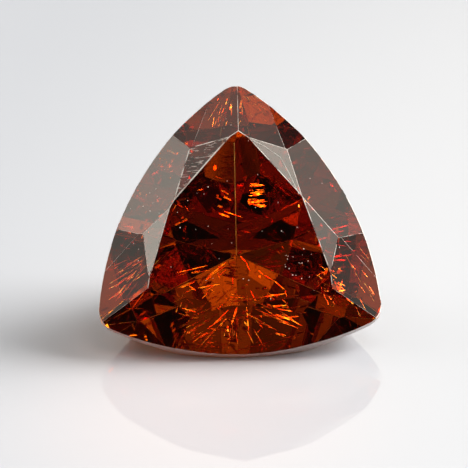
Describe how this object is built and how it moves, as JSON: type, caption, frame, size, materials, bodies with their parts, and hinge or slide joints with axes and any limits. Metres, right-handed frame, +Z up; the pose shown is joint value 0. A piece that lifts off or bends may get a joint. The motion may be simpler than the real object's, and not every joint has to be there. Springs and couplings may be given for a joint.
{
  "type": "faceted sphalerite gemstone",
  "caption": "Cut sphalerite, a triangular brilliant with bulging sides, low crown, frosted girdle and deep pointed pavilion, lying on a pavilion facet.",
  "frame": {"origin": "on the surface that the stone lies on, under the middle of its box", "axes": "+Z up, -Y towards the viewer that the table leans back from, +X to that viewer's right, along the stone's longest extent"},
  "size_m": [0.012, 0.009, 0.0092],
  "materials": {
    "sphalerite": "polished, clear orange-red to brown"
  },
  "bodies": {
    "root": {"cut_stone": "sphalerite"}
  },
  "joints": []
}
